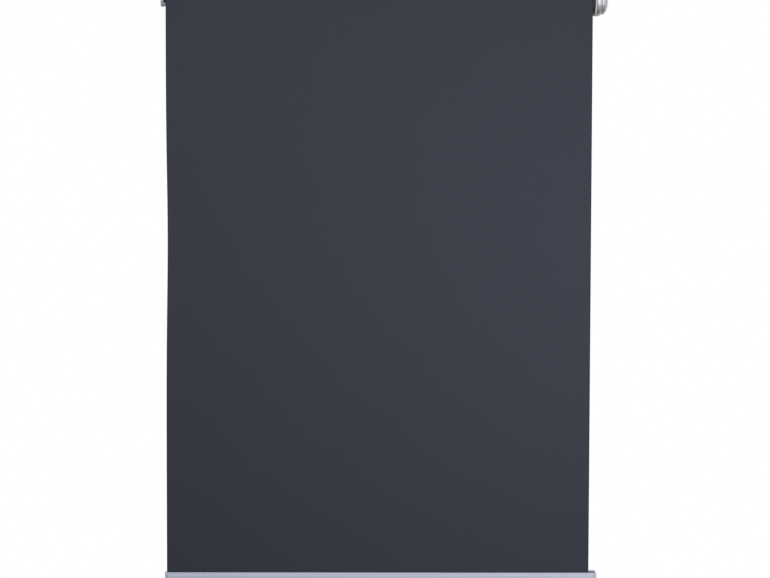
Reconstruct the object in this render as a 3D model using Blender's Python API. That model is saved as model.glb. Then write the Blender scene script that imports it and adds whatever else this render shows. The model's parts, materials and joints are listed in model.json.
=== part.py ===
"""Cordless spring roller blind, pulled fully down.

Metres, +Z up. The room is towards -Y and the wall towards +Y. The origin is on the wall, level with
the roller's axis and midway between the cloth's two edges. The roller lies along X, with its idle end
at -X and its spring end, which holds the ratchet, at +X.
"""

import math

import bmesh
import bpy

# ---------------------------------------------------------------- driving dimensions

# cloth
CLOTH_WIDTH = 0.600
CLOTH_DROP = 0.809  # from the roller's axis to the top of the bottom bar
CLOTH_THICK = 0.0005
WOUND_TURNS = 2  # turns that stay on the tube when the blind is down

# roller
AXIS_FROM_WALL = 0.040
TUBE_RADIUS = 0.0140
TUBE_WALL = 0.0009
TAPE_THICK = 0.0002
TAPE_ANGLE = math.radians(48)
TAPE_GAP = 0.0001
TAPE_SHORTER = 0.0020  # than the cloth at each side

# plugs in the tube's two ends
IDLE_RIM_THICK = 0.0012
FLANGE_THICK = 0.0033
FLANGE_EDGE = 0.0004  # chamfer round its rim
PLUG_EDGE = 0.0010  # chamfer at its inner end
IDLE_PLUG_DEPTH = 0.0310
HEAD_PLUG_DEPTH = 0.0343
RETAINER_RADIUS = 0.0053
RETAINER_THICK = 0.0009
RETAINER_INSET = 0.0002

# sprung pin at the idle end
PIN_RADIUS = 0.0028
PIN_EDGE = 0.0005
PIN_HEAD_RADIUS = 0.0041
PIN_HEAD_LENGTH = 0.0100
PIN_SPRING_LENGTH = 0.0170
PIN_SPRING_TURNS = 7
PIN_SPRING_RADIUS = 0.0032
PIN_SPRING_WIRE = 0.0004

# mandrel, ratchet and torsion spring at the spring end
MANDREL_RADIUS = 0.0030
MANDREL_EDGE = 0.0005
TANG_THICK = 0.0038
TANG_HEIGHT = 0.0080
TANG_LENGTH = 0.0080
TANG_EDGE = 0.0006
POCKET_WALL = 0.0012
POCKET_DEPTH = 0.0074
COVER_DISC_THICK = 0.0010
COVER_DISC_BORE = 0.0050
COVER_DISC_INSET = 0.0002
RATCHET_THICK = 0.0030
RATCHET_OFF_FLOOR = 0.0013
PIVOT_TO_WALL = 0.0030  # from a pawl's pivot out to the pocket's side
PIVOT_TO_WHEEL = 0.0022  # from a pawl's pivot in to the ratchet wheel
PAWL_LENGTH = 0.0060
PAWL_HALF_WIDTH = 0.0010
PAWL_BOSS_RADIUS = 0.0017
PAWL_PIN_RADIUS = 0.0009
PAWL_CLEAR_ANGLE = math.radians(20)  # below the tangent, lifted off the wheel
PAWL_HELD_ANGLE = math.radians(48)  # below the tangent, in a notch
SPRING_LENGTH = 0.186
SPRING_TURNS = 24
SPRING_RADIUS = 0.0082
SPRING_WIRE = 0.0007
SPRING_TAIL = 0.0070
SPRING_OFF_COLLARS = 0.0020
ANCHOR_RADIUS = 0.0105
ANCHOR_LENGTH = 0.0100
ANCHOR_FROM_PLUG = 0.0060
DRIVER_LENGTH = 0.0200
MANDREL_PAST_DRIVER = 0.0040

# idle-end bracket, moulded
PLATE_WIDTH = 0.0240
PLATE_HEIGHT = 0.0400
PLATE_THICK_LEFT = 0.0030
ARM_THICK_LEFT = 0.0040
NOSE_RADIUS_LEFT = 0.0082
ARM_RISE = math.radians(11)  # of the arm's lower edge, towards the wall
SHOULDER_BELOW_ARM = 0.0005
EDGE_ROUND_LEFT = 0.0014
PLATE_CORNER_LEFT = 0.0030
FOOT_BEHIND_CLOTH = 0.0004  # from the cloth's edge in to the plate's lower half
FOOT_FILLET = 0.0020
SHELF_LENGTH = 0.0034

# spring-end bracket, folded sheet
SHEET_THICK = 0.0020
NOSE_INSIDE_COVER = 0.0004
BEND_RADIUS = 0.0035
SHEET_ARM_RISE = math.radians(9)  # of the arm's lower edge, towards the wall
NOTCH_PAST_BEND = 0.0010

# chromed cover
COVER_RADIUS = 0.0200
COVER_DEPTH = 0.0174
COVER_WALL = 0.0014
COVER_FULLNESS = 2.35  # 2 is an ellipse, more is squarer
PEG_RADIUS = 0.0014
POST_RADIUS = 0.0022
POST_SHORTER = 0.0016  # than the room under the shell
PEG_TAPER = 0.0003
PEG_PLACES = ((-0.0108, -0.0085), (0.0108, -0.0085))  # from the axis, along Y and Z

# wall screws
SCREW_RADIUS = 0.0017
SCREW_HEAD_RADIUS = 0.0036
SCREW_HEAD_HEIGHT = 0.0024
RECESS_WIDTH = 0.0036
RECESS_THICK = 0.0008
RECESS_DEPTH = 0.0011
SCREW_IN_WALL = 0.0160
SCREW_SPACING = 0.0240

# bottom bar
BAR_SHORT_OF_CLOTH = 0.0012  # at the idle end
BAR_PAST_CLOTH = 0.0072  # at the spring end
BAR_HEIGHT = 0.0240
BAR_DEPTH = 0.0090
BAR_WALL = 0.0012
BAR_TOP_ROUND = 0.0022
BAR_FOOT_ROUND = 0.0030
STEP_DROP = 0.0030  # from the bar's top to the sloping step along its front
STEP_HEIGHT = 0.0020
STEP_DEPTH = 0.0007  # by which the front is set back above the step
SLOT_HALF_WIDTH = 0.0009
SLOT_DEPTH = 0.0016
CHANNEL_RADIUS = 0.0023
CHAMBER_ROUND = 0.0018
BAR_CAP_THICK = 0.0035
BAR_CAP_ROUND = 0.0024
SPIGOT_LENGTH = 0.0120
STRIP_RADIUS = 0.0019
STRIP_SHORTER = 0.0030  # than the cloth at each side
FILLER_HEIGHT = 0.0026
FILLER_HALF_WIDTH = 0.0022
FILLER_LENGTH = 0.0086
FILLER_OFF_CLOTH = 0.0004
FILLER_ROUND = 0.0012
FILLER_EDGE = 0.0006

# pull grip
GRIP_LENGTH = 0.0560
GRIP_BASE = 0.0026
GRIP_NARROWER = 0.0006  # than the bar at each side
GRIP_CORNER = 0.0036
GRIP_EDGE = 0.0006
GRIP_DROP = 0.0165
GRIP_TAB_THICK = 0.0032
GRIP_TAB_LENGTH = 0.0440
GRIP_LIP_RADIUS = 0.0026
GRIP_END_SLOPE = 0.16  # share by which the tab is shorter at its lip
GRIP_SCREW_SPACING = 0.0490
GRIP_SCREW_RADIUS = 0.0011
GRIP_SCREW_HEAD_RADIUS = 0.0021
GRIP_SCREW_HEAD_HEIGHT = 0.0012
GRIP_SCREW_LENGTH = 0.0064

# fits
GAP = 0.0003  # between pieces that touch
FLANGE_TO_ARM = 0.0004
WELD = 0.0008  # how far one half of a piece reaches into its other half
ROUND = 40  # sides of a large round
SMALL_ROUND = 20  # sides of a small round

# ---------------------------------------------------------------- what follows from them

AXIS_Y = -AXIS_FROM_WALL
CLOTH_EDGE = CLOTH_WIDTH / 2
IDLE_FACE = CLOTH_EDGE  # outer face of the idle plug
TUBE_IDLE_END = IDLE_FACE - IDLE_RIM_THICK - GAP
TUBE_END = CLOTH_EDGE
TUBE_BORE = TUBE_RADIUS - TUBE_WALL
ROLL_INNER = TUBE_RADIUS + TAPE_THICK + 2 * TAPE_GAP
ROLL_RADIUS = ROLL_INNER + WOUND_TURNS * CLOTH_THICK
FLANGE_RADIUS = ROLL_RADIUS
PLUG_RADIUS = TUBE_BORE - GAP
FLANGE_IN = TUBE_END + GAP  # inner face of the spring end's flange
FLANGE_OUT = FLANGE_IN + FLANGE_THICK
ARM_IN = FLANGE_OUT + FLANGE_TO_ARM  # inner face of either bracket's arm
BORE = MANDREL_RADIUS + GAP

CLOTH_BACK_Y = -(ROLL_RADIUS + GAP)  # from the axis
CLOTH_MID_Y = CLOTH_BACK_Y - CLOTH_THICK / 2
BAR_Y = AXIS_Y + CLOTH_MID_Y
BAR_TOP = -CLOTH_DROP
GRIP_TOP = -BAR_HEIGHT - GAP  # from the bar's top
BAR_LEFT = BAR_SHORT_OF_CLOTH - CLOTH_EDGE
BAR_RIGHT = CLOTH_EDGE + BAR_PAST_CLOTH
BAR_MID = (BAR_LEFT + BAR_RIGHT) / 2

POCKET_RADIUS = PLUG_RADIUS - POCKET_WALL
PAWL_PIVOT_RADIUS = POCKET_RADIUS - PIVOT_TO_WALL
RATCHET_RADIUS = PAWL_PIVOT_RADIUS - PIVOT_TO_WHEEL
POCKET_FLOOR = FLANGE_OUT - POCKET_DEPTH
RATCHET_X = POCKET_FLOOR + RATCHET_OFF_FLOOR
COVER_DISC_X = FLANGE_OUT - COVER_DISC_INSET - COVER_DISC_THICK
HEAD_PLUG_END = FLANGE_IN - HEAD_PLUG_DEPTH
ANCHOR_X = HEAD_PLUG_END - ANCHOR_FROM_PLUG - ANCHOR_LENGTH
SPRING_START = ANCHOR_X - SPRING_OFF_COLLARS - SPRING_LENGTH
DRIVER_X = SPRING_START - SPRING_OFF_COLLARS - DRIVER_LENGTH
MANDREL_START = DRIVER_X - MANDREL_PAST_DRIVER

NOSE_RADIUS_RIGHT = COVER_RADIUS - NOSE_INSIDE_COVER

YZ_TO_X = (math.pi / 2, 0, math.pi / 2)  # turns a drawing in XY extruded along Z into YZ along X


# ---------------------------------------------------------------- helpers


def clear_scene():
    for thing in list(bpy.data.objects):
        bpy.data.objects.remove(thing, do_unlink=True)


def material(name, colour, roughness, metallic=0.0):
    made = bpy.data.materials.new(name)
    made.use_nodes = True
    shader = made.node_tree.nodes["Principled BSDF"]
    shader.inputs["Base Color"].default_value = (*colour, 1.0)
    shader.inputs["Roughness"].default_value = roughness
    shader.inputs["Metallic"].default_value = metallic
    return made


def empty(name, location):
    made = bpy.data.objects.new(name, None)
    made.location = location
    bpy.context.collection.objects.link(made)
    return made


def place(name, data, finish, parent=None, location=(0, 0, 0), rotation=(0, 0, 0)):
    """An object for one sub-part, from a mesh or curve."""
    made = bpy.data.objects.new(name, data)
    bpy.context.collection.objects.link(made)
    made.location = location
    made.rotation_euler = rotation
    made.parent = parent
    if finish:
        data.materials.append(finish)
    return made


def mesh_from(form, name, smooth_below=30):
    """Closes a bmesh: welds it, turns its faces outwards and shades its rounds smooth."""
    bmesh.ops.remove_doubles(form, verts=form.verts, dist=1e-7)
    bmesh.ops.recalc_face_normals(form, faces=form.faces)
    mesh = bpy.data.meshes.new(name)
    form.to_mesh(mesh)
    form.free()
    mesh.shade_smooth()
    mesh.set_sharp_from_angle(angle=math.radians(smooth_below))
    return mesh


def turned(name, outline, sides=ROUND):
    """A solid turned about X from (x, radius) points. An outline that isn't on the axis is closed up."""
    form = bmesh.new()
    points = [form.verts.new((x, 0, r)) for x, r in outline]
    edges = [form.edges.new(pair) for pair in zip(points, points[1:])]
    if outline[0][1] > 0 or outline[-1][1] > 0:
        edges.append(form.edges.new((points[-1], points[0])))
    bmesh.ops.spin(
        form,
        geom=points + edges,
        cent=(0, 0, 0),
        axis=(1, 0, 0),
        angle=2 * math.pi,
        steps=sides,
        use_merge=True,
    )
    return mesh_from(form, name)


def prism(name, outlines, length, smooth_below=30):
    """Outlines in XY, the first one outside and the others holes, extruded along Z."""
    form = bmesh.new()
    edges = []
    for outline in outlines:
        points = [form.verts.new((x, y, 0)) for x, y in outline]
        edges += [form.edges.new((a, b)) for a, b in zip(points, points[1:] + points[:1])]
    bmesh.ops.triangle_fill(form, edges=edges, use_beauty=True, use_dissolve=False)
    raised = bmesh.ops.extrude_face_region(form, geom=form.faces[:])
    top = [item for item in raised["geom"] if isinstance(item, bmesh.types.BMVert)]
    bmesh.ops.translate(form, vec=(0, 0, length), verts=top)
    return mesh_from(form, name, smooth_below)


def arc(centre, radius, start, end, steps):
    """Points of an arc, both ends included, with its angles in degrees."""
    angles = [math.radians(start + (end - start) * i / steps) for i in range(steps + 1)]
    return [(centre[0] + radius * math.cos(a), centre[1] + radius * math.sin(a)) for a in angles]


def drill(radius, length, sides=SMALL_ROUND):
    """A cylinder along X to bore a hole with."""
    return turned("drill", [(0, 0), (0, radius), (length, radius), (length, 0)], sides)


def box_outline(x0, x1, y0, y1):
    return [(x0, y0), (x1, y0), (x1, y1), (x0, y1)]


def rounded_box(x0, x1, y0, y1, radius, steps=4):
    """A rectangle's outline with its four corners rounded."""
    return (
        arc((x1 - radius, y0 + radius), radius, -90, 0, steps)
        + arc((x1 - radius, y1 - radius), radius, 0, 90, steps)
        + arc((x0 + radius, y1 - radius), radius, 90, 180, steps)
        + arc((x0 + radius, y0 + radius), radius, 180, 270, steps)
    )


def boolean(target, name, data, operation, location=(0, 0, 0), rotation=(0, 0, 0)):
    """Adds, takes away or keeps the shape of data, which moves with the target's parent."""
    tool = place(name, data, None, target.parent, location, rotation)
    tool.hide_render = True
    tool.display_type = "WIRE"
    change = target.modifiers.new(name, "BOOLEAN")
    change.operation = operation
    change.solver = "EXACT"
    change.object = tool


def bevel(target, width, segments, angle=40):
    change = target.modifiers.new("round", "BEVEL")
    change.width = width
    change.segments = segments
    change.limit_method = "ANGLE"
    change.angle_limit = math.radians(angle)
    change.harden_normals = False


def helix(name, start, length, turns, radius, wire, tail=0.0, steps=10):
    """A coil about X as a bevelled curve, with a straight tail along X at each end where tail isn't 0."""
    count = turns * steps
    points = []
    for i in range(count + 1):
        angle = 2 * math.pi * i / steps
        points.append((start + length * i / count, radius * math.sin(angle), radius * math.cos(angle)))
    if tail:
        points.insert(0, (start - tail, 0, radius))
        points.append((start + length + tail, 0, radius))
    curve = bpy.data.curves.new(name, "CURVE")
    curve.dimensions = "3D"
    spline = curve.splines.new("POLY")
    spline.points.add(len(points) - 1)
    for point, place_at in zip(spline.points, points):
        point.co = (*place_at, 1)
    curve.bevel_depth = wire
    curve.bevel_resolution = 0
    curve.use_fill_caps = True
    return curve


# ---------------------------------------------------------------- brackets and what is fixed to them


def make_bracket_left(finish):
    """Moulded: a wall plate behind the cloth, and an arm whose rounded nose holds the idle pin."""
    half = PLATE_HEIGHT / 2
    outer = -(ARM_IN + ARM_THICK_LEFT)
    nose = NOSE_RADIUS_LEFT
    # the arm's top edge slopes from the plate's top to a tangent of the nose
    reach = math.hypot(AXIS_FROM_WALL - PLATE_THICK_LEFT / 2, half)
    slope = math.atan2(half, AXIS_FROM_WALL - PLATE_THICK_LEFT / 2) - math.asin(nose / reach)
    outline = [(0, arm_bottom(0, nose, ARM_RISE)), (0, half - PLATE_THICK_LEFT / 3)]
    outline += [(-PLATE_THICK_LEFT / 2, half)]
    outline += arc((AXIS_Y, 0), nose, 90 + math.degrees(slope), 270 + math.degrees(ARM_RISE), 10)
    bracket = place(
        "bracket_left",
        prism("bracket_left", [outline], ARM_THICK_LEFT),
        finish,
        location=(outer, 0, 0),
        rotation=YZ_TO_X,
    )
    bevel(bracket, EDGE_ROUND_LEFT, 3, angle=50)
    boolean(bracket, "plate_left", left_plate(), "UNION", (outer, 0, 0), (math.pi / 2, 0, 0))
    boolean(bracket, "shelf", pin_shelf(), "UNION", (-ARM_IN - WELD, 0, 0), YZ_TO_X)
    hole = drill(PIN_RADIUS + GAP, 3 * ARM_THICK_LEFT)
    boolean(bracket, "pin_hole", hole, "DIFFERENCE", (outer - ARM_THICK_LEFT, AXIS_Y, 0))
    cut_screw_holes(bracket, outer + screw_inset(), PLATE_THICK_LEFT)


def arm_bottom(from_wall, nose, rise):
    """Height of an arm's lower edge, which is a tangent of its nose and rises towards the wall."""
    return (AXIS_FROM_WALL - from_wall) * math.tan(rise) - nose / math.cos(rise)


def left_plate():
    """The wall plate, its lower half set in from the arm so that the cloth hides it. Outer side at 0."""
    half, corner, fillet = PLATE_HEIGHT / 2, PLATE_CORNER_LEFT, FOOT_FILLET
    foot = ARM_IN + ARM_THICK_LEFT - CLOTH_EDGE + FOOT_BEHIND_CLOTH
    shoulder = arm_bottom(PLATE_THICK_LEFT, NOSE_RADIUS_LEFT, ARM_RISE) - SHOULDER_BELOW_ARM
    outline = arc((PLATE_WIDTH - corner, -half + corner), corner, -90, 0, 4)
    outline += arc((PLATE_WIDTH - corner, half - corner), corner, 0, 90, 4)
    outline += arc((corner, half - corner), corner, 90, 180, 4)
    outline += [(0, shoulder)] + arc((foot - fillet, shoulder - fillet), fillet, 90, 0, 4)
    outline += arc((foot + corner, -half + corner), corner, 180, 270, 4)
    return prism("plate", [outline], PLATE_THICK_LEFT)


def pin_shelf():
    """A rounded shelf on the arm's inner face, just below the pin."""
    radius, top = NOSE_RADIUS_LEFT - GAP, PIN_RADIUS + 2 * GAP
    dip = math.degrees(math.asin(top / radius))
    return prism("shelf", [arc((AXIS_Y, 0), radius, 180 + dip, 360 - dip, 12)], SHELF_LENGTH + WELD)


def screw_inset():
    """From a bracket's outer face to its screws, midway across what the arm leaves of the plate."""
    return (PLATE_WIDTH + ARM_THICK_LEFT) / 2


def cut_screw_holes(bracket, x, thick):
    for number, z in enumerate((-SCREW_SPACING / 2, SCREW_SPACING / 2)):
        hole = drill(SCREW_RADIUS + GAP, 3 * thick)
        location = (x, -2 * thick, z)
        name = f"screw_hole_{number}_{bracket.name}"
        boolean(bracket, name, hole, "DIFFERENCE", location, (0, 0, math.pi / 2))


def make_bracket_right(finish):
    """Folded sheet: a wall flange behind the cloth, and a round-nosed arm slotted for the tang."""
    outer = ARM_IN + SHEET_THICK
    inner_bend = BEND_RADIUS - SHEET_THICK
    corner = (outer - BEND_RADIUS, -BEND_RADIUS)
    front = AXIS_Y - NOSE_RADIUS_RIGHT - SHEET_THICK
    plan = [(outer - PLATE_WIDTH, -SHEET_THICK), (outer - PLATE_WIDTH, 0)]
    plan += arc(corner, BEND_RADIUS, 90, 0, 5)
    plan += [(outer, front), (ARM_IN, front)]
    plan += arc(corner, inner_bend, 0, 90, 5)
    half = NOSE_RADIUS_RIGHT
    bracket = place(
        "bracket_right",
        prism("bracket_right", [plan], 2 * half),
        finish,
        location=(0, 0, -half),
    )
    notch = BEND_RADIUS + NOTCH_PAST_BEND
    side = [(SHEET_THICK, -half), (SHEET_THICK, half)]
    side += arc((AXIS_Y, 0), half, 90, 270 + math.degrees(SHEET_ARM_RISE), 20)
    side += [(-notch, arm_bottom(notch, half, SHEET_ARM_RISE)), (-notch, -half)]
    boolean(
        bracket,
        "bracket_side",
        prism("side", [side], 2 * PLATE_WIDTH),
        "INTERSECT",
        (outer - 1.5 * PLATE_WIDTH, 0, 0),
        YZ_TO_X,
    )
    slot_half = TANG_THICK / 2 + GAP
    slot_floor = -TANG_HEIGHT / 2 - GAP
    slot = prism("slot", [box_outline(-slot_half, slot_half, slot_floor, 2 * half)], 3 * SHEET_THICK)
    boolean(bracket, "tang_slot", slot, "DIFFERENCE", (ARM_IN - SHEET_THICK, AXIS_Y, 0), YZ_TO_X)
    for number, (y, z) in enumerate(PEG_PLACES):
        hole = drill(PEG_RADIUS + GAP, 3 * SHEET_THICK)
        boolean(bracket, f"peg_hole_{number}", hole, "DIFFERENCE", (ARM_IN - SHEET_THICK, AXIS_Y + y, z))
    cut_screw_holes(bracket, outer - screw_inset(), SHEET_THICK)


def dome(radius, depth, steps):
    """The cover's rounded outline, from its rim to its crown on the axis."""
    points = []
    for i in range(steps + 1):
        angle = math.pi / 2 * i / steps
        power = 2 / COVER_FULLNESS
        points.append((depth * math.sin(angle) ** power, radius * max(math.cos(angle), 0.0) ** power))
    points[-1] = (depth, 0)
    return points


def make_bracket_cover(finish):
    """A round shell with two pegs that snap into the spring-end bracket."""
    outside = dome(COVER_RADIUS, COVER_DEPTH, 10)
    inside = dome(COVER_RADIUS - COVER_WALL, COVER_DEPTH - COVER_WALL, 6)
    start = ARM_IN + SHEET_THICK + GAP
    cover = place(
        "bracket_cover",
        turned("bracket_cover", outside + inside[::-1]),
        finish,
        location=(start, AXIS_Y, 0),
    )
    for number, (y, z) in enumerate(PEG_PLACES):
        away = math.hypot(y, z) / (COVER_RADIUS - COVER_WALL / 2)
        reach = (COVER_DEPTH - COVER_WALL / 2) * (1 - away**COVER_FULLNESS) ** (1 / COVER_FULLNESS)
        reach -= POST_SHORTER
        peg = turned(
            "peg",
            [
                (-SHEET_THICK - GAP, 0),
                (-SHEET_THICK - GAP, PEG_RADIUS - PEG_TAPER),
                (-SHEET_THICK, PEG_RADIUS),
                (0, PEG_RADIUS),
                (0, POST_RADIUS),
                (reach, POST_RADIUS),
                (reach, 0),
            ],
            16,
        )
        boolean(cover, f"cover_peg_{number}", peg, "UNION", (start, AXIS_Y + y, z))


def pan_head_screw(name, shank, head_radius, head_height, length):
    """A pan-head screw along X, its head's underside at 0, the head towards -X and the point towards +X."""
    outline = [(-head_height, 0)]
    for i in range(1, 4):
        angle = math.pi / 2 * i / 4
        outline.append(
            (-head_height * (0.55 + 0.45 * math.cos(angle)), head_radius * math.sin(angle) ** 0.8)
        )
    outline += [(-head_height * 0.5, head_radius), (0, head_radius), (0, shank)]
    outline += [(length - 2 * shank, shank), (length, 0)]
    return turned(name, outline, 16)


def cross_recess(width, thick):
    half, thin = width / 2, thick / 2
    return [
        (thin, thin),
        (thin, half),
        (-thin, half),
        (-thin, thin),
        (-half, thin),
        (-half, -thin),
        (-thin, -thin),
        (-thin, -half),
        (thin, -half),
        (thin, -thin),
        (half, -thin),
        (half, thin),
    ]


def make_wall_screws(finish):
    places = [
        (-(ARM_IN + ARM_THICK_LEFT) + screw_inset(), PLATE_THICK_LEFT),
        (ARM_IN + SHEET_THICK - screw_inset(), SHEET_THICK),
    ]
    number = 0
    for x, thick in places:
        for z in (SCREW_SPACING / 2, -SCREW_SPACING / 2):
            number += 1
            length = thick + GAP + SCREW_IN_WALL
            screw = place(
                f"wall_screw_{number}",
                pan_head_screw("screw", SCREW_RADIUS, SCREW_HEAD_RADIUS, SCREW_HEAD_HEIGHT, length),
                finish,
                location=(x, -thick - GAP, z),
                rotation=(0, 0, math.pi / 2),
            )
            recess = prism("recess", [cross_recess(RECESS_WIDTH, RECESS_THICK)], 2 * RECESS_DEPTH)
            boolean(
                screw,
                f"recess_{number}",
                recess,
                "DIFFERENCE",
                (x, -thick - GAP - SCREW_HEAD_HEIGHT + RECESS_DEPTH, z),
                (math.pi / 2, 0, 0),
            )


# ---------------------------------------------------------------- the spring end's fixed mechanism


def make_mandrel(finish, parent):
    """A round rod whose end is flattened into an upright tang."""
    rod = [
        (MANDREL_START, 0),
        (MANDREL_START, MANDREL_RADIUS - MANDREL_EDGE),
        (MANDREL_START + MANDREL_EDGE, MANDREL_RADIUS),
        (ARM_IN - GAP, MANDREL_RADIUS),
        (ARM_IN - GAP, 0),
    ]
    mandrel = place("mandrel", turned("mandrel", rod, SMALL_ROUND), finish, parent)
    tang = prism(
        "tang",
        [rounded_box(-TANG_THICK / 2, TANG_THICK / 2, -TANG_HEIGHT / 2, TANG_HEIGHT / 2, TANG_EDGE, 2)],
        TANG_LENGTH + WELD,
    )
    boolean(mandrel, "tang", tang, "UNION", (ARM_IN - WELD, 0, 0), YZ_TO_X)


def pawl_frame(number):
    """Pivot of a pawl from the axis, as (y, z), and the angle of the tangent it lies below."""
    turn = math.pi * number
    return (-PAWL_PIVOT_RADIUS * math.sin(turn), PAWL_PIVOT_RADIUS * math.cos(turn)), turn


def make_ratchet_wheel(finish, parent):
    """A wheel on the mandrel with two notches, each with a radial stop and a long ramp."""
    wheel = place(
        "ratchet_wheel",
        turned(
            "ratchet_wheel",
            [
                (0, BORE),
                (0, RATCHET_RADIUS),
                (RATCHET_THICK, RATCHET_RADIUS),
                (RATCHET_THICK, BORE),
            ],
        ),
        finish,
        parent,
        (RATCHET_X, 0, 0),
    )
    for number in (0, 1):
        (y, z), turn = pawl_frame(number)
        room = PAWL_HALF_WIDTH + GAP
        notch = prism("notch", [box_outline(0, PAWL_LENGTH + GAP, -room, 4 * room)], 2 * RATCHET_THICK)
        # drawn along +X from the pivot, then turned to where a held pawl lies
        boolean(
            wheel,
            f"notch_{number}",
            turn_outline(notch, turn - PAWL_HELD_ANGLE),
            "DIFFERENCE",
            (RATCHET_X - RATCHET_THICK / 2, y, z),
            YZ_TO_X,
        )


def turn_outline(mesh, angle):
    """Turns a prism's mesh about its own Z."""
    form = bmesh.new()
    form.from_mesh(mesh)
    cos, sin = math.cos(angle), math.sin(angle)
    for vert in form.verts:
        x, y, z = vert.co
        vert.co = (x * cos - y * sin, x * sin + y * cos, z)
    form.to_mesh(mesh)
    form.free()
    return mesh


def make_spring_anchor(finish, parent):
    """A collar on the mandrel, slotted for the spring's tail."""
    collar = [
        (0, BORE),
        (0, ANCHOR_RADIUS - MANDREL_EDGE),
        (MANDREL_EDGE, ANCHOR_RADIUS),
        (ANCHOR_LENGTH, ANCHOR_RADIUS),
        (ANCHOR_LENGTH, BORE),
    ]
    anchor = place("spring_anchor", turned("spring_anchor", collar), finish, parent, (ANCHOR_X, 0, 0))
    cut_tail_slot(anchor, "anchor_slot", ANCHOR_X - SPRING_OFF_COLLARS / 2)


def cut_tail_slot(target, name, start):
    """An open slot for a tail of the torsion spring, from start towards +X."""
    half = SPRING_WIRE + GAP
    slot = prism("slot", [box_outline(-half, half, SPRING_RADIUS - half, 2 * TUBE_RADIUS)], SPRING_TAIL)
    boolean(target, name, slot, "DIFFERENCE", (start, 0, 0), YZ_TO_X)


def make_torsion_spring(finish, parent):
    coil = helix(
        "torsion_spring",
        SPRING_START,
        SPRING_LENGTH,
        SPRING_TURNS,
        SPRING_RADIUS,
        SPRING_WIRE,
        SPRING_TAIL,
    )
    place("torsion_spring", coil, finish, parent)


# ---------------------------------------------------------------- the roller


def make_tube(finish, parent):
    tube = [
        (-TUBE_IDLE_END, TUBE_BORE),
        (-TUBE_IDLE_END, TUBE_RADIUS),
        (TUBE_END, TUBE_RADIUS),
        (TUBE_END, TUBE_BORE),
    ]
    place("roller_tube", turned("roller_tube", tube), finish, parent)


def make_tape(finish, parent):
    """A strip of double-sided tape along the tube's top."""
    low = TUBE_RADIUS + TAPE_GAP
    middle, half = 90, math.degrees(TAPE_ANGLE) / 2
    outline = arc((0, 0), low, middle - half, middle + half, 6)
    outline += arc((0, 0), low + TAPE_THICK, middle + half, middle - half, 6)
    length = CLOTH_WIDTH - 2 * TAPE_SHORTER
    place(
        "adhesive_tape",
        prism("adhesive_tape", [outline], length),
        finish,
        parent,
        (-length / 2, 0, 0),
        YZ_TO_X,
    )


def make_fabric_roll(finish, parent):
    wound = [
        (-CLOTH_EDGE, ROLL_INNER),
        (-CLOTH_EDGE, ROLL_RADIUS),
        (CLOTH_EDGE, ROLL_RADIUS),
        (CLOTH_EDGE, ROLL_INNER),
    ]
    place("fabric_roll", turned("fabric_roll", wound), finish, parent)


def make_idle_plug(plastic, parent):
    """A rimmed plug with a blind bore for the sprung pin, and a recess at its mouth for the retainer."""
    recess = RETAINER_INSET + RETAINER_THICK + GAP
    bore = PIN_HEAD_RADIUS + GAP
    floor = recess + GAP + PIN_HEAD_LENGTH + PIN_SPRING_LENGTH + 2 * GAP
    depth = IDLE_RIM_THICK + IDLE_PLUG_DEPTH
    outline = [
        (floor, 0),
        (floor, bore),
        (recess, bore),
        (recess, RETAINER_RADIUS + GAP),
        (0, RETAINER_RADIUS + GAP),
        (0, TUBE_RADIUS - FLANGE_EDGE),
        (FLANGE_EDGE, TUBE_RADIUS),
        (IDLE_RIM_THICK, TUBE_RADIUS),
        (IDLE_RIM_THICK, PLUG_RADIUS),
        (depth - PLUG_EDGE, PLUG_RADIUS),
        (depth, PLUG_RADIUS - PLUG_EDGE),
        (depth, 0),
    ]
    place("idle_plug", turned("idle_plug", outline), plastic, parent, (-IDLE_FACE, 0, 0))


def make_pin_retainer(finish, parent):
    ring = [
        (0, PIN_RADIUS + GAP),
        (0, RETAINER_RADIUS),
        (RETAINER_THICK, RETAINER_RADIUS),
        (RETAINER_THICK, PIN_RADIUS + GAP),
    ]
    location = (-IDLE_FACE + RETAINER_INSET, 0, 0)
    place("pin_retainer", turned("pin_retainer", ring, SMALL_ROUND), finish, parent, location)


def pin_head_x():
    """The outer face of the idle pin's head, just inside the retainer."""
    return -IDLE_FACE + RETAINER_INSET + RETAINER_THICK + 2 * GAP


def make_idle_pin(finish, parent):
    """A headed pin that reaches through the bracket's arm, but not past its outer face."""
    tip = -(ARM_IN + ARM_THICK_LEFT - PIN_EDGE)
    head = pin_head_x()
    outline = [
        (tip, 0),
        (tip, PIN_RADIUS - PIN_EDGE),
        (tip + PIN_EDGE, PIN_RADIUS),
        (head, PIN_RADIUS),
        (head, PIN_HEAD_RADIUS),
        (head + PIN_HEAD_LENGTH, PIN_HEAD_RADIUS),
        (head + PIN_HEAD_LENGTH, 0),
    ]
    place("idle_pin", turned("idle_pin", outline, SMALL_ROUND), finish, parent)


def make_pin_spring(finish, parent):
    wire = PIN_SPRING_WIRE
    start = pin_head_x() + PIN_HEAD_LENGTH + GAP / 2 + wire
    length = PIN_SPRING_LENGTH - 2 * wire - GAP
    coil = helix("pin_spring", start, length, PIN_SPRING_TURNS, PIN_SPRING_RADIUS, wire)
    place("pin_spring", coil, finish, parent)


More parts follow.
